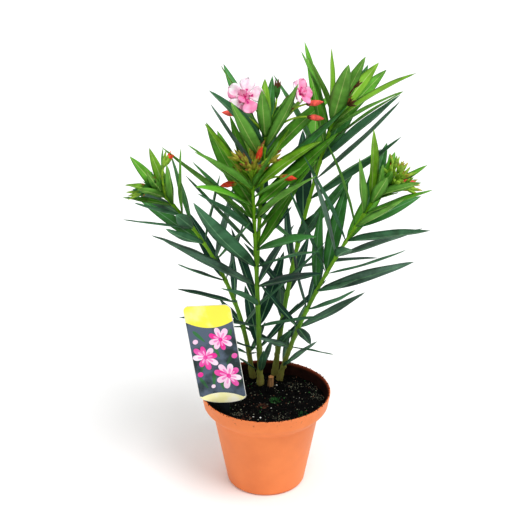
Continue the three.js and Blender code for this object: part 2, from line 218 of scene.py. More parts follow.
class OleanderLeafSettings(bpy.types.PropertyGroup):
    thickness: measure("Thickness", "Thickness of a leaf", 0.00045)
    rib: measure("Midrib", "Width of the midrib at its root", 0.0016)
    wave: measure("Waviness", "How far the margins wave", 0.0004)
    steps: number("Steps", "Faces along a leaf", 14, 6)
    old: colour("Old leaves", "Colour of the oldest leaves", (0.019, 0.100, 0.060))
    # Painted sheen: a paler grey-green copy of the leaf colour, given to some older leaves for the sheen of
    # leaves seen at a slant
    dull: colour("Dull leaves", "Colour of grown leaves with a grey bloom", (0.145, 0.260, 0.190))
    grown: colour("Grown leaves", "Colour of grown leaves", (0.072, 0.300, 0.062))
    fresh: colour("Fresh leaves", "Colour of fresh leaves", (0.170, 0.520, 0.040))
    young: colour("Young leaves", "Colour of the youngest leaves", (0.250, 0.540, 0.032))
    under: colour("Underside", "Colour of the undersides", (0.078, 0.228, 0.110))
    young_under: colour("Young underside", "Colour of young undersides", (0.200, 0.480, 0.078))
    rib_old: colour("Midrib", "Colour of the midribs", (0.230, 0.460, 0.240))
    rib_young: colour("Young midrib", "Colour of young midribs", (0.500, 0.700, 0.220))


class OleanderBlossomSettings(bpy.types.PropertyGroup):
    petal: measure("Petal", "Thickness of a petal", 0.0005)
    ruffle: measure("Ruffle", "How far a petal's edge waves", 0.0018)
    pale: colour("Pale pink", "Colour of a petal's middle", (0.98, 0.86, 0.91))
    pink: colour("Pink", "Colour of a deeper petal", (0.90, 0.28, 0.50))
    magenta: colour("Magenta", "Colour of the throat", (0.72, 0.06, 0.30))
    bud: colour("Bud", "Colour of the closed buds", (0.80, 0.075, 0.030))
    coral: colour("Coral bud", "Colour of the topmost buds", (0.82, 0.115, 0.085))
    bract: colour("Bracts", "Colour of the bracts", (0.370, 0.330, 0.048))
    fresh: colour("Fresh bracts", "Colour of the freshest bracts", (0.270, 0.440, 0.050))
    leafy: colour("Leafy bracts", "Colour of the leafy bracts", (0.060, 0.210, 0.040))
    dusky: colour("Dusky bracts", "Colour of the dusky bracts", (0.130, 0.050, 0.022))
    tip: colour("Bract tips", "Colour of the bracts' tips", (0.280, 0.120, 0.035))
    stalk: colour("Stalk", "Colour of the stalks", (0.300, 0.480, 0.040))


class OleanderStageSettings(bpy.types.PropertyGroup):
    floor: colour("Floor", "Colour of the floor", (0.95, 0.95, 0.95))
    sky: strength("Sky", "Strength of the even light", 0.70)
    key: strength("Key light", "Strength of the broad key light", 1.4)
    lens: FloatProperty(name="Lens", description="Focal length in millimetres", default=79.06, min=1)
    pitch: FloatProperty(
        name="Pitch", description="How far the camera looks down", default=radians(22.57), subtype="ANGLE"
    )
    eye: FloatVectorProperty(
        name="Eye", description="Where the camera stands", default=(-0.0043, -1.1, 0.7152),
        subtype="XYZ", unit="LENGTH",
    )


# ---- Chance ----

ROUND = 6.28  # a whole turn, near enough for one that chance sets


def chance(*keys):
    """A repeatable share from 0 to 1 that depends only on the keys. The last key numbers the draw."""
    total = sum(key * (12.9898 + 65.2331 * place) for place, key in enumerate(keys))
    value = sin(total) * 43758.5453
    return value - floor(value)


def spread(*keys):
    return 2 * chance(*keys) - 1


def smooth(low, high, value):
    share = min(1, max(0, (value - low) / (high - low)))
    return share * share * (3 - 2 * share)


# ---- Directions, curves and stems ----


def polar(r, turn):
    return r * cos(turn), r * sin(turn)


def turned(first, second, turn):
    """A direction turned from the first towards the second, which is square to it."""
    return first * cos(turn) + second * sin(turn)


def away(run, turn):
    """The direction square to a run at a turn round it, counted from the front."""
    forward = Vector((0, -1, 0))
    first = (forward - run * forward.dot(run)).normalized()
    return turned(first, run.cross(first), turn)


class Arc:
    """A curve from a start to an end that bends towards a knee."""

    def __init__(self, start, knee, end):
        self.start, self.knee, self.end = Vector(start), Vector(knee), Vector(end)

    def point(self, t):
        return self.start * (1 - t) ** 2 + self.knee * 2 * t * (1 - t) + self.end * t * t

    def run(self, t):
        return ((self.knee - self.start) * (1 - t) + (self.end - self.knee) * t).normalized()


def arc_of(name):
    stem = STEMS[name]
    if "fork_of" in stem:
        foot = arc_of(stem["fork_of"]).point(stem["fork_at"])
    else:
        foot = Vector((*stem["foot"], CUT))
    return Arc(foot, stem["knee"], stem["tip"])


def whorl_at(stem, whorl):
    share = whorl / (stem["whorls"] - 1)
    return stem["first"] + (HABIT.last_whorl - stem["first"]) * (1 - (1 - share) ** HABIT.gather)


def stem_radius(stem, t):
    flare = 0 if "fork_of" in stem else HABIT.flare * exp(-t * HABIT.flare_fade)
    return stem["radius"] + (stem["tip_radius"] - stem["radius"]) * t + flare


# ---- Blades: leaves and petals ----


def tapering(skew, fullness):
    """How wide a shape is at each share of its length: nothing at its ends, and full where the skew says."""
    return lambda u: sin(pi * u**skew) ** fullness if 0 < u < 1 else 0


leaf_outline, petal_outline, bud_outline = tapering(0.85, 0.8), tapering(1.9, 0.7), tapering(0.8, 0.85)


class Blade:
    """A thin blade on an arc. It opens outwards from a run, and bends towards its outward side."""

    def __init__(self, root, run, out, opened, length, width, bend, roll, fold, outline):
        self.root = root
        self.along, self.outward = turned(run, out, opened), turned(out, -run, opened)
        self.side = self.along.cross(self.outward)
        self.length, self.width, self.bend, self.roll = length, width, bend, roll
        self.fold, self.outline = fold, outline

    def spot(self, u, x=0, lift=0, half=0):
        """The place at share u of the length and x of the half width, lifted towards the underside."""
        straight, cupped = 1e-4, 1.25
        angle = self.bend * u
        reach, rise = u, 0
        if abs(self.bend) > straight:
            reach, rise = sin(angle) / self.bend, (1 - cos(angle)) / self.bend
        under = turned(self.outward, -self.along, angle)
        edge = turned(self.side, under, self.roll)
        face = turned(under, -self.side, self.roll)
        point = self.root + self.along * self.length * reach + self.outward * self.length * rise
        return point + edge * x * half + face * (lift - abs(x) ** cupped * half * self.fold)


def drawn_leaf(stem, arc, whorl, leaf, attempt):
    """One draw for a leaf. A later try stands a little further from its regular place."""
    share = whorl / (stem["whorls"] - 1)
    keys = (stem["seed"], whorl, leaf, attempt)
    t, gap = whorl_at(stem, whorl), 360 / WHORL
    run = arc.run(t)
    sway = HABIT.turn_spread + HABIT.wider_each_try * attempt
    turn = radians(stem["turn"] + gap / 2 * whorl + gap * leaf + sway * spread(*keys, 1))
    opened = HABIT.open + (stem["shut"] - HABIT.open) * share**HABIT.closing
    low = HABIT.low_leaf + (1 - HABIT.low_leaf) * min(1, share / HABIT.low_until)
    late = max(0, (share - HABIT.young_from) / (1 - HABIT.young_from)) ** HABIT.ageing
    age = 1 - (1 - stem["young"]) * late
    full = stem["leaf"] * low * (1 + HABIT.length_spread * spread(*keys, 3))
    bend = HABIT.root_bend + (HABIT.tip_bend - HABIT.root_bend) * share
    return Blade(
        root=arc.point(t), run=run, out=away(run, turn),
        opened=radians(opened + HABIT.open_spread * spread(*keys, 2)),
        length=full * age,
        width=full * HABIT.width * age**HABIT.young_width,
        bend=radians(bend + HABIT.bend_spread * spread(*keys, 4)),
        roll=radians(HABIT.roll_spread * spread(*keys, 5)),
        fold=HABIT.fold, outline=leaf_outline,
    )


def grown_leaves():
    """Every leaf that the solids hold, with its stem: the draw whose tip is a tip of its mass."""
    for name, stem in STEMS.items():
        arc = arc_of(name)
        first = 0
        for mass, whorls in stem["masses"]:
            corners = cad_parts[mass].data.vertices
            tree = KDTree(len(corners))
            for place, corner in enumerate(corners):
                tree.insert(corner.co / MM, place)
            tree.balance()
            for whorl in range(first, first + whorls):
                for leaf in range(WHORL):
                    for attempt in range(HABIT.tries):
                        blade = drawn_leaf(stem, arc, whorl, leaf, attempt)
                        if tree.find(blade.spot(1))[2] < HABIT.same_tip:
                            yield name, whorl, leaf, blade
                            break
            first += whorls


# ---- Mesh helpers ----


def meshed(name, bm):
    mesh = bpy.data.meshes.new(name)
    bm.to_mesh(mesh)
    bm.free()
    return mesh


def placed(name, data):
    """A new object of a mesh, light or camera, in the scene."""
    thing = bpy.data.objects.new(name, data)
    bpy.context.scene.collection.objects.link(thing)
    return thing


def pour(bm, bit):
    """Adds a bit that was made apart to its piece, which stays quick however large the piece is."""
    mesh = meshed("bit", bit)
    bm.from_mesh(mesh)
    bpy.data.meshes.remove(mesh)


def sleeve(bm, along, around, place, slot=0):
    """Adds a closed sleeve: a grid wrapped round. Its points, and its slots if they differ, go by share."""
    bit = bmesh.new()
    made = bmesh.ops.create_grid(bit, x_segments=along, y_segments=around, size=0.5)["verts"]
    layer = bit.loops.layers.uv.verify()
    for face in bit.faces:
        middle = face.calc_center_median()
        face.material_index = slot(middle.x + 0.5, middle.y + 0.5) if callable(slot) else slot
        face.smooth = True
        for loop in face.loops:
            loop[layer].uv = (loop.vert.co.x + 0.5, loop.vert.co.y + 0.5)
    for vert in made:
        vert.co = place(vert.co.x + 0.5, vert.co.y + 0.5)
    bmesh.ops.remove_doubles(bit, verts=made, dist=WELD)
    pour(bm, bit)


def rod(bm, arc, radius, along=12, around=8, slot=0, rough=None):
    """Adds a closed rod along a curve. Its first and last rings close its ends."""

    def place(u, v):
        t = min(1, max(0, (u * (along + 2) - 1) / along))
        turn = tau * v
        wide = 0 if u in (0, 1) else radius(t)
        if rough and wide:
            wide += rough(t, turn)
        return arc.point(t) + away(arc.run(t), turn) * wide

    sleeve(bm, along + 2, around, place, slot)


def finished(name, bm, materials, replaced=(), sharp=None):
    """Makes a finished piece of a mesh in millimetres, at the origin, riding on the root body."""
    bm.transform(Matrix.Scale(MM, 4))
    bmesh.ops.recalc_face_normals(bm, faces=bm.faces)
    mesh = meshed(name, bm)
    for material in materials:
        mesh.materials.append(material)
    if sharp is not None:
        mesh.set_sharp_from_angle(angle=radians(sharp))
    piece = placed(name, mesh)
    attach(piece, "root")
    if replaced:
        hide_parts(*replaced)


# ---- Materials ----


class Wire:
    """A shader socket that adds Math nodes as it is used in an expression."""

    def __init__(self, finish, socket):
        self.finish, self.socket = finish, socket

    def math(self, operation, *values, clamp=False):
        settings = {"operation": operation, "use_clamp": clamp}
        return self.finish.node("ShaderNodeMath", settings, dict(enumerate(values)))

    def __add__(self, other):
        return self.math("ADD", self, other)

    def __radd__(self, other):
        return self.math("ADD", other, self)

    def __sub__(self, other):
        return self.math("SUBTRACT", self, other)

    def __rsub__(self, other):
        return self.math("SUBTRACT", other, self)

    def __mul__(self, other):
        return self.math("MULTIPLY", self, other)

    def __rmul__(self, other):
        return self.math("MULTIPLY", other, self)

    def between(self, low, high):
        """0 below low, 1 above high, and even between them."""
        return self.math("MULTIPLY", self - low, 1 / (high - low), clamp=True)

    def wave(self):
        return self.math("SINE", self)

    def size(self):
        return self.math("ABSOLUTE", self)


class Finish:
    """A material and the nodes that give it its look."""

    def __init__(self, name, **sockets):
        self.material = bpy.data.materials.new(name)
        self.material.use_nodes = True
        self.tree = self.material.node_tree
        self.shader = self.tree.nodes["Principled BSDF"]
        self.set(**sockets)

    def put(self, socket, value):
        if isinstance(value, Wire):
            self.tree.links.new(value.socket, socket)
        elif socket.type == "RGBA" and len(value) == 3:
            socket.default_value = (*value, 1)
        else:
            socket.default_value = value

    def set(self, **sockets):
        for name, value in sockets.items():
            self.put(self.shader.inputs[name.replace("_", " ")], value)

    def node(self, kind, settings=None, sockets=None, output=0):
        made = self.tree.nodes.new(kind)
        for name, value in (settings or {}).items():
            setattr(made, name, value)
        for name, value in (sockets or {}).items():
            self.put(made.inputs[name], value)
        return Wire(self, made.outputs[output])

    def place(self):
        return self.node("ShaderNodeTexCoord", output="Object")

    def axis(self, name, of=None):
        return self.node("ShaderNodeSeparateXYZ", sockets={0: of or self.place()}, output=name)

    def noise(self, scale, detail=3, stretch=(1, 1, 1)):
        """Cloudy noise of a grain given by how many there are in a metre."""
        point = self.node("ShaderNodeMapping", sockets={"Vector": self.place(), "Scale": stretch})
        sockets = {"Vector": point, "Scale": scale, "Detail": detail}
        return self.node("ShaderNodeTexNoise", sockets=sockets, output="Fac")

    def mix(self, mask, first, second):
        return self.node("ShaderNodeMix", {"data_type": "RGBA"}, {0: mask, 6: first, 7: second}, output=2)

    def done(self, colour, rough, relief, depth):
        """Links the colour, the roughness and a relief of a depth in metres, and gives the material."""
        sockets = {"Height": relief, "Distance": depth, "Strength": 1.0}
        self.set(Base_Color=colour, Roughness=rough, Normal=self.node("ShaderNodeBump", sockets=sockets))
        return self.material


def tinted(base, by):
    return tuple(min(1, part * by) for part in base)


def leaf_finish(name, base, rough):
    """A leathery leaf: colour clouded between painted shade and a painted greyish sheen, fine side veins
    along its UV map, and an uneven gloss.
    """
    midrib, veins_long, veins_slant = 0.25, 420, 260
    finish = Finish(name, Specular_IOR_Level=0.24)
    cloud = finish.noise(80, 4).between(0.3, 0.7)
    patch = finish.noise(17, 1).between(0.4, 0.62)
    uv = finish.node("ShaderNodeTexCoord", output="UV")
    crosswise = (finish.axis("Y", uv) - midrib).size()
    veins = (finish.axis("X", uv) * veins_long - crosswise * veins_slant).wave() * 0.5 + 0.5
    # Painted sheen: patches of a paler, greyer copy of the leaf's colour
    painted_sheen = finish.mix(patch * 0.6, base, tuple(part * 0.9 + 0.025 for part in base))
    # Painted shade: patches darkened to between 0.28 and 0.8 of the leaf's colour
    deep = finish.mix(patch, tinted(base, 0.28), tinted(base, 0.8))
    colour = finish.mix(cloud * 0.8 + veins * 0.2, deep, painted_sheen)
    return finish.done(colour, cloud * 0.16 + rough, veins * 0.6 + finish.noise(900, 2), 0.00006)


def petal_finish(name, base, blush=None):
    """A soft petal, clouded with a blush."""
    finish = Finish(name, Specular_IOR_Level=0.2)
    cloud = finish.noise(130, 3).between(0.42, 0.68)
    colour = finish.mix(cloud, tinted(base, 1.05), blush or tinted(base, 0.85))
    return finish.done(colour, cloud * 0.1 + 0.5, finish.noise(1200, 2), 0.00005)


def grain_finish(name, base, grain, rough, contrast=0.4, depth=0.0001, stretch=(1, 1, 1), gloss=0.3):
    """A matt finish of clouded grains."""
    finish = Finish(name, Specular_IOR_Level=gloss)
    cloud = finish.noise(grain, 5, stretch)
    shade = cloud.between(0.32, 0.68)
    colour = finish.mix(shade, tinted(base, 1 - contrast), tinted(base, 1 + contrast))
    return finish.done(colour, shade * 0.15 + rough, cloud, depth)


def shell_finish(pot):
    """Matt moulded plastic, clouded by handling, with soil splashed below the rim and faint stains over its
    upper part.
    """
    stain_low, stain_high, splash_low, splash_high = 0.05, 0.106, 0.096, 0.1075  # heights in metres
    soiled, splashed = (0.52, 0.14, 0.05), (0.10, 0.03, 0.015)
    finish = Finish("pot_shell", Specular_IOR_Level=0.35)
    height = finish.axis("Z")
    handled = finish.noise(22, 4).between(0.35, 0.7)
    clean = finish.mix(handled, pot.shell, pot.warm)
    splash = finish.noise(420, 4).between(0.63, 0.69) * height.between(splash_low, splash_high)
    stain = finish.noise(45, 5).between(0.56, 0.75) * height.between(stain_low, stain_high) * 0.3
    colour = finish.mix(splash * 0.8, finish.mix(stain, clean, soiled), splashed)
    rough = handled * 0.12 + stain * 0.3 + 0.42
    return finish.done(colour, rough, finish.noise(700, 3) + splash * 2, 0.00005)


def inside_finish(pot):
    """The inner wall: painted shade that makes it nearly black inside the pot, and redder towards the lip."""
    lip_low, lip_high, lighter_lip_shade = 0.1045, 0.1078, (0.30, 0.062, 0.026)
    finish = Finish("pot_inside", Specular_IOR_Level=0.2)
    cloud = finish.noise(160, 4).between(0.3, 0.7)
    # Painted shade: the inner wall is darkened nearly to black, and lightens to a dark red near the lip
    shaded_wall = finish.mix(cloud, tinted(pot.inside, 0.5), tinted(pot.inside, 1.5))
    colour = finish.mix(finish.axis("Z").between(lip_low, lip_high), shaded_wall, lighter_lip_shade)
    return finish.done(colour, cloud * 0.15 + 0.6, cloud, 0.0001)


def bark_finish(stem):
    """Bark that is bright green near the tips and turns yellow-brown towards the soil, with pale pores."""
    brown_below, green_above, bright_from, bright_above = 0.1, 0.17, 0.16, 0.29  # heights in metres
    pore = (0.45, 0.42, 0.25)
    finish = Finish("bark", Specular_IOR_Level=0.25)
    lines = finish.noise(500, 4, (1, 1, 0.12))
    height = finish.axis("Z")
    age = (1 - height.between(brown_below, green_above)) * 0.85 + lines.between(0.55, 0.7) * 0.3
    pores = finish.noise(1100, 1, (1, 1, 0.5)).between(0.7, 0.74)
    fresh = finish.mix(height.between(bright_from, bright_above), stem.green, stem.bright)
    skin = finish.mix(age.between(0.05, 0.95), fresh, stem.brown)
    return finish.done(finish.mix(pores * 0.6, skin, pore), lines * 0.2 + 0.42, lines + pores, 0.00012)


# ---- The pot ----


def outer_radius(z):
    """The radius of the pot's outside: a rounded foot, a straight body, a swung shoulder and a band."""
    if z < POT.corner:
        return POT.base - POT.corner + sqrt(POT.corner**2 - (POT.corner - z) ** 2)
    if z <= POT.waist_height:
        return POT.base + (POT.waist - POT.base) * (z - POT.corner) / (POT.waist_height - POT.corner)
    band_foot = POT.height - POT.band
    if z < band_foot:
        return POT.waist + (POT.band_foot - POT.waist) * smooth(POT.waist_height, band_foot, z)
    return POT.band_foot + (POT.rim - POT.band_foot) * (z - band_foot) / POT.band


def levels(low, high, steps):
    """Even steps up from a height to another, without the first."""
    return [low + step * (high - low) / steps for step in range(1, steps + 1)]


class OLEANDER_OT_pot(bpy.types.Operator):
    """Spin the pot from its profile, and drill the drain holes"""

    bl_idname = "oleander.add_pot"
    bl_label = "Add pot"

    def execute(self, context):
        settings = context.scene.oleander_pot
        wall = settings.wall / MM
        bm = bmesh.new()
        chain = [bm.verts.new((r, 0, z)) for r, z in self.profile(settings, wall)]
        edges = [bm.edges.new(pair) for pair in zip(chain, chain[1:])]
        bmesh.ops.spin(
            bm, geom=chain + edges, cent=(0, 0, 0), axis=(0, 0, 1), dvec=(0, 0, 0),
            angle=tau, steps=settings.steps, use_merge=True,
        )
        bmesh.ops.remove_doubles(bm, verts=bm.verts, dist=WELD)
        bmesh.ops.recalc_face_normals(bm, faces=bm.faces)
        for face in bm.faces:
            face.smooth = True
            middle = face.calc_center_median()
            inner = hypot(middle.x, middle.y) < outer_radius(min(middle.z, POT.height)) - wall / 2
            # Inner faces take the inside finish, whose nearly black colour is painted shade
            face.material_index = int(inner and middle.z > POT.floor / 2)
        materials = [shell_finish(settings), inside_finish(settings)]
        finished("pot", self.drilled(bm), materials, ["pot"], sharp=38)
        return {"FINISHED"}

    @staticmethod
    def profile(settings, wall):
        """The wall's section: from the foot's middle up the outside, over the lip and down to the floor."""
        ring, ring_width = settings.ridge_height / MM, 1.1
        body = levels(POT.corner, POT.waist_height, 24) + levels(POT.waist_height, POT.height - POT.lip, 18)
        outside = [
            (outer_radius(z) + settings.ridge / MM * exp(-((z - ring) / ring_width) ** 2), z)
            for z in [0, *levels(0, POT.corner, 8), *body]
        ]
        middle = POT.rim - wall / 2
        lip = [
            (middle + cos(turn) * wall / 2, POT.height - POT.lip + sin(turn) * POT.lip)
            for turn in (pi * step / 8 for step in range(1, 8))
        ]
        inside = [(outer_radius(z) - wall, z) for z in reversed([POT.inner_foot, *body])]
        return [(0, 0), *outside, *lip, *inside, (0, POT.floor)]

    @staticmethod
    def drilled(shell):
        """The shell with its drain holes cut."""
        drill = bmesh.new()
        for hole in range(DRAIN.holes):
            place = Matrix.Translation((*polar(DRAIN.circle, tau * hole / DRAIN.holes), 0))
            bmesh.ops.create_cone(
                drill, cap_ends=True, segments=24, radius1=DRAIN.radius, radius2=DRAIN.radius, depth=14,
                matrix=place,
            )
        blank, cutter = placed("blank", meshed("shell", shell)), placed("cutter", meshed("drill", drill))
        cut = blank.modifiers.new("Drain holes", "BOOLEAN")
        cut.operation, cut.object, cut.solver = "DIFFERENCE", cutter, "EXACT"
        bm = bmesh.new()
        bm.from_object(blank, bpy.context.evaluated_depsgraph_get())
        bpy.data.objects.remove(blank)
        bpy.data.objects.remove(cutter)
        return bm


# ---- The soil ----

COMPOST, BARK, DRY, MOSS, PERLITE = range(5)
TUFTS = (  # place, kind, number of blades and reach of each tuft
    (10, -3, MOSS, 130, 6), (-4, -14, BARK, 90, 6), (41, -33, MOSS, 50, 7), (56, 6, DRY, 80, 8),
    (30, 30, DRY, 70, 9), (-22, -38, BARK, 50, 8), (14, -42, DRY, 60, 9), (50, 30, DRY, 50, 8),
    (-30, -30, DRY, 40, 7),
)
MIXTURE = (0, 0, 0, 2, 0, 0, 1, 0, 0, 2, 0, 0, 0, 2, 0, 0, 1, 0, 3)  # the kinds of crumb, in turn


class OLEANDER_OT_soil(bpy.types.Operator):
    """Lay the soil's uneven top, and scatter crumbs, moss and fibres on it"""

    bl_idname = "oleander.add_soil"
    bl_label = "Add soil"

    def execute(self, context):
        settings = context.scene.oleander_soil
        noise.seed_set(1)  # or the noise that makes the crumbs uneven would differ each time
        wall = context.scene.oleander_pot.wall / MM
        relief = settings.relief / MM
        edge = outer_radius(SOIL_TOP - 1) - wall - SOIL.gap
        feet = [Vector((*stem["foot"], 0)) for stem in STEMS.values() if "foot" in stem]

        def height(x, y):
            spot = Vector((x, y, 0))
            rough = noise.noise(spot * 0.07) + 0.6 * noise.noise(Vector((x, y, 5)) * 0.25)
            heap = sum(SOIL.heap * exp(-((spot - foot).length / SOIL.heap_width) ** 2) for foot in feet)
            dip = SOIL.rim_dip * smooth(0.9, 1.0, hypot(x, y) / edge)
            return SOIL_TOP - SOIL.sunk + rough * relief + heap - dip

        bm = bmesh.new()
        sleeve(bm, 66, 120, self.plug(height, edge, wall))
        shades = [
            grain_finish("compost", settings.dark, 700, 0.8, 0.8, 0.0006, gloss=0.08),
            grain_finish("bark_crumb", settings.brown, 600, 0.75, gloss=0.12),
            grain_finish("dry_crumb", settings.grey, 600, 0.8, gloss=0.15),
            grain_finish("moss", settings.moss, 900, 0.8, gloss=0.12),
            grain_finish("perlite", (0.75, 0.75, 0.72), 700, 0.7, 0.1),
        ]
        finished("soil", bm, shades[:1], ["soil"])
        crumbs = bmesh.new()
        self.scatter(crumbs, settings, edge, height)
        self.tufts(crumbs, height)
        self.lip(crumbs, settings, wall)
        finished("soil_crumbs", crumbs, shades)
        return {"FINISHED"}

    @staticmethod
    def plug(height, edge, wall):
        """Places the plug's sleeve: its base, its side along the pot's wall, and its uneven top."""
        base_end, side_end = 0.03, 0.12

        def place(u, v):
            turn = tau * v
            if u < side_end:
                low = SOIL.foot + (SOIL_TOP - 8) * smooth(base_end, side_end, u)
                r = (outer_radius(max(low, POT.corner)) - wall - SOIL.plug_gap) * min(1, u / base_end)
                return Vector((*polar(r, turn), low))
            x, y = polar(edge * (1 - (u - side_end) / (1 - side_end)), turn)
            return Vector((x, y, height(x, y)))

        return place

    @staticmethod
    def crumb(bm, place, size, slot, keys):
        """Adds one crumb: a small ball, flattened, turned and made uneven."""
        flat, bumps, rough = 0.55, 1.3, 0.16
        shape = Matrix.Diagonal((size, size * (0.5 + chance(*keys, 4) * 0.5), size * flat, 1))
        spin = Matrix.Rotation(ROUND * chance(*keys, 5), 4, "Z") @ Matrix.Rotation(spread(*keys, 6), 4, "X")
        where = Matrix.Translation(place) @ spin @ shape
        bit = bmesh.new()
        made = bmesh.ops.create_icosphere(bit, subdivisions=1, radius=0.5, matrix=where)["verts"]
        for face in bit.faces:
            face.material_index = slot
        for vert in made:
            vert.co += noise.noise_vector(vert.co * bumps) * size * rough
        pour(bm, bit)

    def scatter(self, bm, settings, edge, height):
        """Crumbs over all the soil, with one lump of perlite in front."""
        rare, smallest, larger, proud = 0.995, 0.3, 1.3, 0.15
        for crumb in range(settings.crumbs):
            x, y = polar((edge - 1) * sqrt(chance(crumb, 1)), tau * chance(crumb, 2))
            slot = PERLITE if chance(crumb, 7) > rare else MIXTURE[crumb % len(MIXTURE)]
            size = settings.crumb / MM * (smallest + larger * chance(crumb, 3) ** 3) * (0.75 if slot else 1)
            self.crumb(bm, (x, y, height(x, y) + size * proud), size, slot, (crumb,))
        x, y, size = -6, -40, 2.8
        self.crumb(bm, (x, y, height(x, y) + size / 4), size, PERLITE, (3, 3))

    @staticmethod
    def tufts(bm, height):
        """Tufts of moss and of fibres, mostly in front of the stems."""
        for x0, y0, slot, blades, wide in TUFTS:
            stand, shortest = (0.9, 1.6) if slot == MOSS else (0.35, 1.1)
            longer, sunk, droop = 2.6, 0.4, 0.3
            for blade in range(blades):
                keys = (x0, y0, blade)
                x, y = polar(wide * sqrt(chance(*keys, 1)), ROUND * chance(*keys, 2))
                root = Vector((x0 + x, y0 + y, height(x0 + x, y0 + y) - sunk))
                lean = Vector((spread(*keys, 3), spread(*keys, 4), stand)).normalized()
                long = shortest + longer * chance(*keys, 5)
                arc = Arc(root, root + lean * long * 0.6, root + lean * long + Vector((0, 0, -droop)))
                rod(bm, arc, lambda t: 0.28 * (1 - t) + 0.05, 2, 4, slot)

    def lip(self, bm, settings, wall):
        """Crumbs that were spilt on the pot's lip, most of them in front."""
        crowded, smallest, larger = 1.5, 0.6, 1.2
        for crumb in range(settings.lip_crumbs):
            turn = -pi / 2 + pi * abs(spread(crumb, 8)) ** crowded * (1 if crumb % 2 else -1)
            r = POT.rim - wall * (0.5 - 0.48 * spread(crumb, 9))
            size = smallest + larger * chance(crumb, 3) ** 2
            drop = POT.lip * (1 - sqrt(max(0, 1 - ((r - POT.rim + wall / 2) / (wall / 2)) ** 2)))
            place = (*polar(r, turn), POT.height - drop + size * 0.2)
            self.crumb(bm, place, size, COMPOST if crumb % 5 else BARK, (crumb, 8))


# ---- The label ----

GROUND, BAND, CREAM, PALE, DEEP, LEAF, STAKE, MIDDLE, CARD = range(9)
SPEARS = (  # place on the card, turn and length of each narrow leaf
    (-14, 78, 2.3, 17), (-16, 44, 1.2, 20), (2, 62, 1.9, 18), (16, 52, 0.9, 17), (-6, 28, 1.4, 20),
    (-18, 24, 2.1, 15), (19, 24, 0.7, 13), (2, 22, 1.7, 13), (20, 80, 1.2, 12), (-4, 52, 1.7, 16),
)
DAISIES = ((9, 74, 13.5, 0.2, PALE), (-11, 54, 14, 0.9, DEEP), (11, 32, 15, 0.55, PALE))
BALLS = ((-19, 72, 3.2, PALE), (21, 55, 3.5, DEEP), (-20, 34, 3.4, DEEP), (-8, 20, 2.6, PALE))


def circle(count):
    return [tau * step / count for step in range(count)]


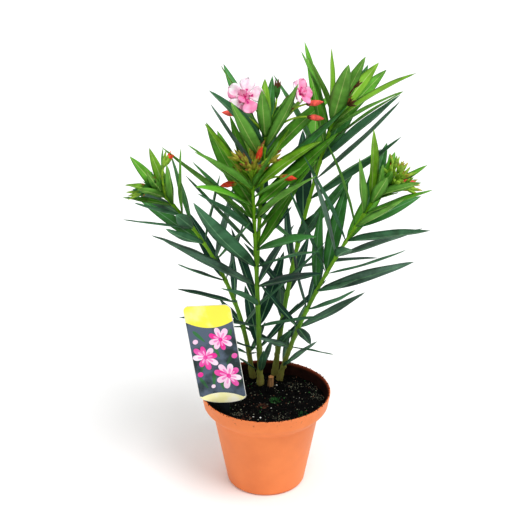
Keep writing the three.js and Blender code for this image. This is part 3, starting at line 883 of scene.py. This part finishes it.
class OLEANDER_OT_label(bpy.types.Operator):
    """Cut the plant label and print its flowers on it"""

    bl_idname = "oleander.add_label"
    bl_label = "Add label"

    def execute(self, context):
        settings = context.scene.oleander_label
        bm = bmesh.new()
        self.card(bm, settings.thickness / MM)
        self.prints(bm, settings.thickness / MM / 2, settings.print_height / MM)
        lean, turn = radians(-LABEL.lean), radians(LABEL.turn)
        upright = Matrix.Rotation(turn, 4, "Z") @ Matrix.Rotation(lean, 4, "Y")
        bm.transform(Matrix.Translation(LABEL.place) @ upright)
        materials = [
            self.gloss("ground", settings.ground, (0.016, 0.034, 0.036)),
            self.gloss("band", settings.band, (1.0, 0.93, 0.30)),
            self.gloss("cream", settings.cream, (1.0, 0.98, 0.80)),
            self.gloss("pale", settings.pale, (0.96, 0.84, 0.92)),
            self.gloss("deep", settings.deep, (0.80, 0.14, 0.46)),
            self.gloss("leaf", settings.leaf, (0.015, 0.07, 0.03)),
            self.gloss("stake", settings.stake, (0.02, 0.025, 0.03)),
            self.gloss("middle", settings.middle, (0.90, 0.45, 0.70)),
            self.gloss("card", (0.75, 0.75, 0.70), (0.68, 0.68, 0.63)),
        ]
        finished("label", bm, materials, ["label"], sharp=40)
        return {"FINISHED"}

    @staticmethod
    def gloss(name, shade, other):
        finish = Finish(f"label_{name}", Coat_Weight=0.12, Specular_IOR_Level=0.3)
        cloud = finish.noise(52, 4).between(0.44, 0.6)
        colour = finish.mix(cloud, shade, other)
        return finish.done(colour, cloud * 0.08 + 0.3, finish.noise(1400, 2), 0.00002)

    @staticmethod
    def foot(x):
        """The height of the label's rounded foot at a place across it."""
        return LABEL.rise * (1 - sqrt(max(0, 1 - (x / (LABEL.width / 2)) ** 2)))

    def outline(self):
        half, top, corner = LABEL.width / 2, LABEL.height, LABEL.corner
        right = [(LABEL.stake_tip, LABEL.point - LABEL.stake), (LABEL.stake_top, self.foot(LABEL.stake_top))]
        shares = (0.35, 0.5, 0.65, 0.78, 0.88, 0.95, 0.99, 1)
        right += [(half * share, self.foot(half * share)) for share in shares]
        for step in range(7):
            turn = pi / 2 * step / 6
            right.append((half - corner + corner * cos(turn), top - corner + corner * sin(turn)))
        return [(0, -LABEL.stake), *right, *self.mirrored(right)]

    @staticmethod
    def mirrored(points):
        return [(-x, z) for x, z in reversed(points)]

    @staticmethod
    def plate(bm, points, front, back, slot):
        """A flat plate of an outline between two depths, which are measured towards the front."""
        face = bm.faces.new([bm.verts.new((x, -back, z)) for x, z in points])
        face.material_index = slot
        for item in bmesh.ops.extrude_face_region(bm, geom=[face])["geom"]:
            if isinstance(item, bmesh.types.BMVert):
                item.co.y = -front
            elif isinstance(item, bmesh.types.BMFace):
                item.material_index = slot

    def card(self, bm, thickness):
        self.plate(bm, self.outline(), thickness / 2, -thickness / 2, CARD)
        bmesh.ops.bevel(
            bm, geom=list(bm.edges), offset=0.12, offset_type="OFFSET", segments=1, profile=0.5,
            affect="EDGES", material=-1,
        )
        for face in bm.faces:
            if face.calc_center_median().z < 0:
                face.material_index = STAKE

    def prints(self, bm, face, high):
        """The print: a head band, a ground and a foot on both sides, and a posy of daisies in front."""
        margin, band_high, band_sag, foot_high, foot_sag = 0.5, 18, 7, 12.5, 6.5
        half, top, corner = LABEL.width / 2 - margin, LABEL.height - margin, LABEL.corner
        steps = [-1 + 2 * step / 20 for step in range(21)]
        band_low = [(half * x, top - band_high - band_sag * (1 - x * x)) for x in steps]
        quarter = [pi / 2 * step / 5 for step in range(6)]
        head = [(half - corner * (1 - cos(a)), top - corner * (1 - sin(a))) for a in quarter]
        band = band_low + head + self.mirrored(head)
        foot_low = [(half * x, self.foot((half + margin) * abs(x) * 0.999) + margin) for x in steps]
        foot_top = [(x, max(z + 0.1, foot_high - foot_sag * (x / half) ** 2)) for x, z in foot_low]
        ground = foot_top + band_low[::-1]
        foot = foot_low + foot_top[::-1]
        tip, shoulder, point = LABEL.stake_tip - 0.1, LABEL.stake_top - 0.1, LABEL.point - LABEL.stake
        stake = [(0, 0.4 - LABEL.stake), (tip, point), (shoulder, 0.3), (-shoulder, 0.3), (-tip, point)]
        for side in (-1, 1):
            for outline, slot in ((ground, GROUND), (band, BAND), (foot, CREAM), (stake, STAKE)):
                self.plate(bm, outline, side * (face + high), side * face, slot)
        self.garden(bm, face + high, high)

    def garden(self, bm, face, high):
        """A generic posy: narrow leaves, round buds and three daisies."""
        for x, z, turn, long in SPEARS:
            spear = [(cos(a) * long / 2, sin(a) * 1.9 * (1 + 0.4 * cos(a))) for a in circle(18)]
            self.plate(bm, self.laid(spear, x, z, turn), face + high, face, LEAF)
        for daisy in DAISIES:
            self.daisy(bm, face, high, *daisy)
        for x, z, size, slot in BALLS:
            ball = [(size * cos(a), size * 0.8 * sin(a)) for a in circle(16)]
            self.plate(bm, self.laid(ball, x, z, 0.6), face + high * 2, face + high, slot)

    def daisy(self, bm, face, high, x, z, size, turn, shade):
        """A daisy of eight petals, each printed a little over the one before, with a mark and an eye."""
        petals, eye_size = 8, 0.17
        for petal in range(petals):
            a = turn + tau * petal / petals + 0.12 * spread(x, petal)
            long = size * (0.5 + 0.06 * spread(z, petal))
            lobe = [(long * (1 + cos(t)), long * 0.42 * sin(t) * (1 + 0.45 * cos(t))) for t in circle(22)]
            mark = [(b * 0.62, c * 0.36) for b, c in lobe]
            level = face + high * (2 + petal * 0.4)
            slot = shade if petal % 3 else PALE + DEEP - shade
            self.plate(bm, self.laid(lobe, x, z, a), level, face + high, slot)
            self.plate(bm, self.laid(mark, x, z, a), level + high * 0.3, level, MIDDLE)
        eye = [(size * eye_size * cos(t), size * eye_size * sin(t)) for t in circle(14)]
        self.plate(bm, self.laid(eye, x, z, 0), face + high * 6, face + high, DEEP)

    @staticmethod
    def laid(points, x, z, turn):
        """An outline turned and moved to its place on the card, kept inside the card's edges."""
        edge = LABEL.width / 2 - 0.8
        sideways = [x + a * cos(turn) - b * sin(turn) for a, b in points]
        heights = [z + a * sin(turn) + b * cos(turn) for a, b in points]
        return [(max(-edge, min(edge, across)), height) for across, height in zip(sideways, heights)]


# ---- Stems and stump ----


class OLEANDER_OT_stems(bpy.types.Operator):
    """Grow the stems with their nodes and bark, and the stump beside them"""

    bl_idname = "oleander.add_stems"
    bl_label = "Add stems"

    def execute(self, context):
        settings = context.scene.oleander_stem
        bm = bmesh.new()
        for name in STEMS:
            self.stem(bm, name, settings)
        replaced = ["stem_front", "bough_top", "stem_right", "stem_back", "stem_left"]
        finished("stems", bm, [bark_finish(settings)], replaced)
        self.stump(settings)
        return {"FINISHED"}

    @staticmethod
    def stem(bm, name, settings):
        """Adds one stem: rings where its leaves stand, and ridged, lumpy bark low down."""
        swell, depth, lump = settings.node_swell / MM, settings.ridges / MM, settings.lumps / MM
        ring_width, within, smooth_from, smooth_at = 0.008, 0.97, 110, 165
        stem, arc = STEMS[name], arc_of(name)
        scars = [] if "fork_of" in stem else [0.02, 0.045]
        nodes = scars + [whorl_at(stem, whorl) for whorl in range(stem["whorls"])]

        def radius(t):
            ring = sum(exp(-((t - node) / ring_width) ** 2) for node in nodes)
            return stem_radius(stem, t) * within + swell * min(1, ring)

        def rough(t, turn):
            spot = arc.point(t)
            old = 1 - smooth(smooth_from, smooth_at, spot.z)
            ridge = sin(turn * 7 + 3 * noise.noise(Vector((spot.z * 0.08, turn, 0))))
            knob = noise.noise(Vector((cos(turn) * 1.1, sin(turn) * 1.1, spot.z * 0.16 + spot.x)))
            return depth * (0.35 + 0.65 * old) * ridge + lump * old * knob

        rod(bm, arc, radius, 110, settings.sides, rough=rough)

    @staticmethod
    def stump(settings):
        sunk, within, lump, cut_from = 1.5, 0.96, 0.28, 17 / 18
        foot = Vector((*STUB.foot, CUT - sunk))
        top = Vector((*STUB.foot, CUT)) + Vector((*STUB.lean, STUB.height))

        def radius(t):
            return (STUB.radius + (STUB.top - STUB.radius) * t) * within

        def rough(t, turn):
            return lump * noise.noise(Vector((cos(turn) * 2, sin(turn) * 2, t * 1.6)))

        bm = bmesh.new()
        rod(bm, Arc(foot, foot.lerp(top, 0.5), top), radius, 16, 20, lambda u, v: int(u > cut_from), rough)
        bark = grain_finish("stump_bark", (0.34, 0.19, 0.085), 500, 0.75, 0.5, 0.0003, (1, 1, 0.2))
        cut = grain_finish("cut_wood", settings.cut, 700, 0.8, 0.35, 0.0002)
        finished("stump", bm, [bark, cut], ["cut_stub"])


# ---- Leaves ----

# The second class is no age but painted sheen: a paler grey-green leaf colour
AGES = ("old", "dull", "grown", "fresh", "young")
OLD, GREY_SHEEN, GROWN, FRESH, YOUNG = range(len(AGES))


def leaf_age(share, *keys):
    """The age class of a leaf by its share of the stem's height, mixed a little by chance."""
    value = share + 0.17 * spread(*keys, 21)
    # Some older leaves take the painted sheen colour in place of their age's colour
    if value < 0.62 and chance(*keys, 22) < 0.28:
        return GREY_SHEEN
    return (OLD, GROWN, FRESH, YOUNG)[sum(value > limit for limit in (0.38, 0.64, 0.86))]


def leaf_mesh(bm, blade, age, settings, keys):
    """Adds one leaf: a folded blade with a raised midrib, waved margins and a paler underside."""
    thick, wave, rib_wide = settings.thickness / MM, settings.wave / MM, settings.rib / MM
    narrow, foot_from, foot_to = 0.55, -2, 7  # the leaf's narrow foot, in millimetres
    middle, around, waves = 0.55, 10, 12
    rib_below, rib_above = 2.6, 0.4  # how far the midrib stands out, as shares of the blade's thickness
    under = len(AGES) + (age > GROWN)
    ribs = under + 2
    phase = ROUND * chance(*keys, 31)

    def place(u, v):
        u = u**0.9
        half = blade.width * blade.outline(u) / 2 * smooth(foot_from, foot_to, u * blade.length)
        half = max(half, narrow * (1 - u) * smooth(0, 0.01, u))
        rib = min(0.6, rib_wide / 2 * (1 - 0.8 * u) / max(half, 0.01))
        step = round(v * around)
        x = (-1, -middle, -rib, rib, middle, 1, middle, rib, -rib, -middle, -1)[step]
        lower = around / 2 < step < around
        body = thick / 2 * (1 if lower else -1) * (abs(x) < 1) * smooth(0, 0.02, u) * smooth(0, 0.02, 1 - u)
        if abs(x) == rib:
            body = body * (rib_below if lower else rib_above)
        sway = wave * abs(x) * sin(u * waves + phase + (1.6 if x > 0 else 0))
        return blade.spot(u, x, body + sway * smooth(0, 0.15, u) * smooth(0, 0.2, 1 - u), half)

    def slot(u, v):
        step = int(v * around)
        if step in (2, 7):
            return ribs
        return age if step < around / 2 else under

    sleeve(bm, settings.steps, around, place, slot)


class OLEANDER_OT_leaves(bpy.types.Operator):
    """Grow the leaves of every stem"""

    bl_idname = "oleander.add_leaves"
    bl_label = "Add leaves"

    def execute(self, context):
        settings = context.scene.oleander_leaf
        bm = bmesh.new()
        for name, whorl, leaf, blade in grown_leaves():
            stem = STEMS[name]
            keys = (stem["seed"], whorl, leaf)
            leaf_mesh(bm, blade, leaf_age(whorl / (stem["whorls"] - 1), *keys), settings, keys)
        for name in STEMS:
            self.tuft(bm, name, settings)
        materials = [
            leaf_finish("leaf_old", settings.old, 0.34),
            # Painted sheen: a paler grey-green leaf finish
            leaf_finish("leaf_dull", settings.dull, 0.40),
            leaf_finish("leaf_grown", settings.grown, 0.34),
            leaf_finish("leaf_fresh", settings.fresh, 0.38),
            leaf_finish("leaf_young", settings.young, 0.42),
            leaf_finish("underside", settings.under, 0.55),
            leaf_finish("young_underside", settings.young_under, 0.55),
            leaf_finish("midrib", settings.rib_old, 0.48),
            leaf_finish("young_midrib", settings.rib_young, 0.48),
        ]
        masses = [mass for stem in STEMS.values() for mass, whorls in stem["masses"]]
        finished("leaves", bm, materials, masses)
        return {"FINISHED"}

    @staticmethod
    def tuft(bm, name, settings):
        """The small upright leaves round a stem's tip."""
        stem, arc = STEMS[name], arc_of(name)
        for leaf in range(TUFT.leaves):
            keys = (stem["seed"], leaf, 77)
            t = TUFT.lowest + TUFT.higher * leaf / (TUFT.leaves - 1)
            run = arc.run(t)
            length = TUFT.length + TUFT.longer * chance(*keys, 2)
            blade = Blade(
                root=arc.point(t), run=run, out=away(run, radians(GOLDEN * leaf + TUFT.turn)),
                opened=radians(TUFT.open + TUFT.wider * chance(*keys, 1)),
                length=length, width=length * TUFT.width, bend=radians(TUFT.bend * spread(*keys, 3)),
                roll=radians(TUFT.roll * spread(*keys, 4)), fold=TUFT.fold, outline=leaf_outline,
            )
            leaf_mesh(bm, blade, YOUNG, settings, keys)


# ---- Blossom and buds ----


def stalk_to(arc, place):
    tip = arc.point(BUD.leaves_at)
    reach = (Vector(place) - tip).length
    return Arc(tip, tip.lerp(Vector(place), 0.45) + arc.run(BUD.leaves_at) * reach * BUD.sag, place)


def bud_mesh(bm, place, run, length, radius, slot, rings=12):
    """A closed bud or bract: a spindle whose rolled petals run round it."""
    petals, groove, twist = 5, 0.1, 2.2

    def spot(u, v):
        turn = tau * v
        wide = radius * bud_outline(u)
        wide *= 1 + groove * cos(petals * (turn + twist * u))
        return place + run * (u - 0.5) * length + away(run, turn) * wide

    sleeve(bm, rings, 15 if rings > 10 else 8, spot, slot)


def sepals(bm, root, run, size, slot):
    for sepal in range(BLOOM.petals):
        out = away(run, tau * sepal / BLOOM.petals)
        arc = Arc(root, root + out * size * 0.5 + run * size * 0.3, root + run * size + out * size * 0.35)
        rod(bm, arc, lambda t: size * 0.2 * (1 - t) + 0.04, 4, 5, slot)


BUD_KINDS = {
    "front": ("red", "red", "red"),
    "top": ("coral", "coral", "coral"),
    "right": ("coral", "sprig"),
    "back": ("sprig", "sprig"),
    "left": ("sprig", "sprig"),
}
CLUSTERS = {
    "front": dict(
        shade="bract", tip="tip", dark=0.45, branches=16, reach=47, wide=35, count=3,
        long=18, slim=0.12, opened=13, aim=(0.1, -0.1, 1),
    ),
    "top": dict(
        shade="leafy", tip="dusky", dark=0.8, branches=4, reach=54, wide=12, count=5,
        long=23, slim=0.09, opened=7, aim=(0.75, 0, 1),
    ),
    "right": dict(
        shade="fresh", tip="bract", dark=0.5, branches=15, reach=44, wide=30, count=3,
        long=19, slim=0.11, opened=17, aim=(0.9, -0.05, 0.5),
    ),
    "back": dict(
        shade="dusky", tip="tip", dark=0.35, branches=5, reach=54, wide=13, count=5,
        long=13, slim=0.105, opened=24, aim=(0.5, -0.75, 1), stalk="dusky",
    ),
    "left": dict(
        shade="leafy", tip="tip", dark=0.35, branches=8, reach=31, wide=28, count=5,
        long=16, slim=0.085, opened=14, aim=(-0.85, 0, 0.55),
    ),
}
SPRIG = dict(shade="fresh", tip="bud", dark=0.3, long=20, slim=0.1, opened=14, count=4)
SHADES = ("bud", "coral", "bract", "fresh", "leafy", "dusky", "tip", "stalk")
STALK = SHADES.index("stalk")
PETAL, DEEP_PETAL, THROAT = range(3)


def bracts(bm, root, run, kind, keys):
    """A spray of pointed bracts that open from one root, some with a darker tip."""
    upright, dark_from = 5, 0.68
    body, point = SHADES.index(kind["shade"]), SHADES.index(kind["tip"])
    for bract in range(kind["count"]):
        turn = tau * (bract / kind["count"] + 0.1 * chance(*keys, bract, 1))
        lean = radians(upright if bract == 0 else kind["opened"] * (0.6 + chance(*keys, bract, 2)))
        towards = turned(run, away(run, turn), lean)
        reach = kind["long"] * (0.7 + 0.3 * chance(*keys, bract, 3))
        dark = chance(*keys, bract, 4) < kind["dark"]

        def slot(u, v, dark=dark):
            return point if dark and u > dark_from else body

        bud_mesh(bm, root + towards * reach * 0.5, towards, reach, reach * kind["slim"], slot, 10)


class OLEANDER_OT_blossom(bpy.types.Operator):
    """Open the flowers, and set the red buds and the green and brown bracts on their stalks"""

    bl_idname = "oleander.add_blossom"
    bl_label = "Add blossom"

    def execute(self, context):
        settings = context.scene.oleander_blossom
        petals, buds = bmesh.new(), bmesh.new()
        for name in STEMS:
            arc = arc_of(name)
            for bloom in BLOOMS.get(name, ()):
                self.bloom(petals, buds, arc, bloom, settings)
            for place, kind in zip(BUDS[name], BUD_KINDS[name]):
                self.bud(buds, name, arc, Vector(place), kind)
            self.cluster(buds, name, arc)
        petal_finishes = [
            petal_finish("petal_pale", settings.pale, (0.93, 0.46, 0.68)),
            petal_finish("petal_pink", settings.pink, (0.94, 0.50, 0.68)),
            petal_finish("petal_magenta", settings.magenta),
        ]
        finished("petals", petals, petal_finishes)
        bud_finishes = [
            grain_finish(f"bud_{shade}", getattr(settings, shade), 300, 0.5, 0.35) for shade in SHADES
        ]
        finished("buds", buds, bud_finishes)
        return {"FINISHED"}

    @staticmethod
    def bud(bm, name, arc, place, kind):
        """What stands at a bud's place: a plump red or coral bud in its sepals, or a sprig of bracts."""
        stalk = stalk_to(arc, place)
        run = stalk.run(1)
        end = place - run * BUD.length * BUD.seat
        rod(bm, Arc(stalk.start, stalk.knee, end), lambda t: BUD.stalk * (1.5 - 0.5 * t), slot=STALK)
        if kind == "sprig":
            sprig = CLUSTERS[name] if name == "back" else {**CLUSTERS[name], **SPRIG}
            bracts(bm, end - run * 3, run, sprig, (place.x, 3))
            return
        red = kind == "red"
        shade, calyx, calyx_size = ("bud", "bract", 8) if red else (kind, "dusky", 5.5)
        bud_mesh(bm, place + run * 0.5, run, BUD.length, BUD.radius * BUD.plump, SHADES.index(shade))
        sepals(bm, end - run * 1.2, run, calyx_size, SHADES.index(calyx))

    def bloom(self, petals, buds, arc, bloom, settings):
        """An open flower: its stalk, sepals and throat, a ring of petals and a smaller one inside it."""
        place, axis = Vector(bloom["place"]), Vector(bloom["faces"]).normalized()
        size, lift = bloom["size"], radians(bloom["lift"])
        back = place - axis * size * BLOOM.depth
        rod(buds, stalk_to(arc, back), lambda t: BUD.stalk * 0.75, slot=STALK)
        sepals(buds, back, axis, 4.5, SHADES.index("dusky"))
        rod(
            petals, Arc(back, back.lerp(place, 0.5), place + axis * 0.6),
            lambda t: BLOOM.throat_foot + size * BLOOM.throat * t, 8, 18,
            lambda u, v: THROAT if u > 0.9 else PETAL,
        )
        rings = (
            (BLOOM.petals, 1.0, lift, 0.0),
            (BLOOM.inner, BLOOM.inner_size, lift + BLOOM.inner_lift, 0.5),
        )
        for ring, (count, share, rise, offset) in enumerate(rings):
            for petal in range(count):
                keys = (size, ring, petal)
                out = away(axis, tau * (petal + offset) / count)
                length = size / 2 * share
                blade = Blade(
                    root=place - axis * 0.5, run=out, out=-axis,
                    opened=-(rise + (0 if ring else BLOOM.lift_spread * spread(*keys, 3))),
                    length=length, width=length * BLOOM.petal_width, bend=radians(BLOOM.bend),
                    roll=radians(BLOOM.roll + BLOOM.roll * spread(*keys, 1)),
                    fold=BLOOM.fold, outline=petal_outline,
                )
                self.petal(petals, blade, settings, ring == 1 or petal in bloom["deep"], keys)

    @staticmethod
    def petal(bm, blade, settings, deep, keys):
        """Adds one petal: a broad blade with a ruffled edge, deeper in colour towards its root."""
        thick, ruffle = settings.petal / MM, settings.ruffle / MM
        around, root_wide = 16, 0.9
        phase = ROUND * chance(*keys, 5)
        blush = chance(*keys, 6) > 0.4

        def side(v):
            """Whether a place round the blade is on its upper side, and how far across."""
            step = v * around
            upper = step <= around / 2
            return upper, step / 4 - 1 if upper else 3 - step / 4

        def place(u, v):
            upper, x = side(v)
            body = thick / 2 * (-1 if upper else 1) * (abs(x) < 0.999) * smooth(0, 0.03, 1 - u)
            half = max(blade.width * blade.outline(u) / 2, root_wide * (1 - u))
            sway = ruffle * u * u * sin(5 * x + phase + 6 * u) * 0.6
            return blade.spot(u, x, body + sway, half)

        def slot(u, v):
            x = side(v)[1]
            if u < 0.2 or (u < 0.42 and abs(x) < 0.26):
                return THROAT
            return DEEP_PETAL if deep or (blush and x > 0.5 and u > 0.45) else PETAL

        sleeve(bm, 14, around, place, slot)

    @staticmethod
    def cluster(bm, name, arc):
        """The crowd of young bracts at a stem's tip: stalks that open from it, each with its spray."""
        kind = CLUSTERS[name]
        root = arc.point(SPRAY.root)
        aim = Vector(kind["aim"]).normalized()
        run = (arc.run(0.99) * (1 - SPRAY.own_aim) + aim * SPRAY.own_aim).normalized()
        shade = SHADES.index(kind.get("stalk", "stalk"))
        for branch in range(kind["branches"]):
            keys = (STEMS[name]["seed"], branch, 55)
            lean = radians(kind["wide"] * sqrt((branch + 0.3) / kind["branches"]))
            towards = turned(run, away(run, radians(GOLDEN * branch)), lean)
            share = SPRAY.shortest + (1 - SPRAY.shortest) * chance(*keys, 1)
            long = kind["reach"] * share * (1 if branch % 3 else SPRAY.shortest)
            end = root + towards * (long - kind["long"] * SPRAY.overlap)
            stalk = Arc(root, root + run * long * SPRAY.knee, end)
            rod(bm, stalk, lambda t: SPRAY.stalk - SPRAY.taper * t, 6, slot=shade)
            bracts(bm, stalk.end - stalk.run(1), stalk.run(1), kind, keys)


# ---- Stage ----


class OLEANDER_OT_stage(bpy.types.Operator):
    """Lay the floor, and set the light and the camera"""

    bl_idname = "oleander.add_stage"
    bl_label = "Add stage"

    def execute(self, context):
        scene, settings = context.scene, context.scene.oleander_stage
        bm = bmesh.new()
        bmesh.ops.create_grid(bm, x_segments=1, y_segments=1, size=6)
        mesh = meshed("floor", bm)
        mesh.materials.append(Finish("floor", Base_Color=settings.floor, Roughness=0.85).material)
        floor = placed("floor", mesh)
        scene.world = bpy.data.worlds.new("sky")
        scene.world.use_nodes = True
        sky = scene.world.node_tree.nodes["Background"].inputs
        sky["Color"].default_value, sky["Strength"].default_value = (1, 1, 1, 1), settings.sky
        scene.view_settings.view_transform = "Standard"
        scene.view_settings.look = "Medium High Contrast"
        key = bpy.data.lights.new("key", "SUN")
        key.energy, key.angle = settings.key, radians(34)
        shines = Vector((-0.42, 0.36, -1))
        placed("key", key).rotation_euler = shines.to_track_quat("-Z", "Y").to_euler()
        lens = bpy.data.cameras.new("camera")
        lens.lens, lens.sensor_width = settings.lens, 36
        scene.camera = placed("camera", lens)
        scene.camera.location = settings.eye
        scene.camera.rotation_euler = (pi / 2 - settings.pitch, 0, 0)
        return {"FINISHED"}


# ---- The add-on ----


class OLEANDER_PT_panel(bpy.types.Panel):
    """Lists the pieces of the potted oleander"""

    bl_idname = "OLEANDER_PT_panel"
    bl_label = "Potted oleander"
    bl_space_type = "VIEW_3D"
    bl_region_type = "UI"
    bl_category = "Oleander"

    def draw(self, context):
        for part, operator in PARTS.items():
            box = self.layout.box()
            box.operator(operator.bl_idname)
            settings = getattr(context.scene, f"oleander_{part}", None)
            for name in getattr(settings, "__annotations__", ()):
                box.prop(settings, name)


SETTINGS = {
    "pot": OleanderPotSettings,
    "soil": OleanderSoilSettings,
    "label": OleanderLabelSettings,
    "stem": OleanderStemSettings,
    "leaf": OleanderLeafSettings,
    "blossom": OleanderBlossomSettings,
    "stage": OleanderStageSettings,
}
PARTS = {
    "pot": OLEANDER_OT_pot,
    "soil": OLEANDER_OT_soil,
    "label": OLEANDER_OT_label,
    "stem": OLEANDER_OT_stems,
    "leaf": OLEANDER_OT_leaves,
    "blossom": OLEANDER_OT_blossom,
    "stage": OLEANDER_OT_stage,
}
CLASSES = (*SETTINGS.values(), *PARTS.values(), OLEANDER_PT_panel)


def register():
    for kind in CLASSES:
        bpy.utils.register_class(kind)
    for part, kind in SETTINGS.items():
        setattr(bpy.types.Scene, f"oleander_{part}", PointerProperty(type=kind))


def unregister():
    for part in SETTINGS:
        delattr(bpy.types.Scene, f"oleander_{part}")
    for kind in reversed(CLASSES):
        bpy.utils.unregister_class(kind)


def main():
    register()
    bpy.ops.oleander.add_pot()
    bpy.ops.oleander.add_soil()
    bpy.ops.oleander.add_label()
    bpy.ops.oleander.add_stems()
    bpy.ops.oleander.add_leaves()
    bpy.ops.oleander.add_blossom()
    bpy.ops.oleander.add_stage()


if __name__ == "__main__":
    main()
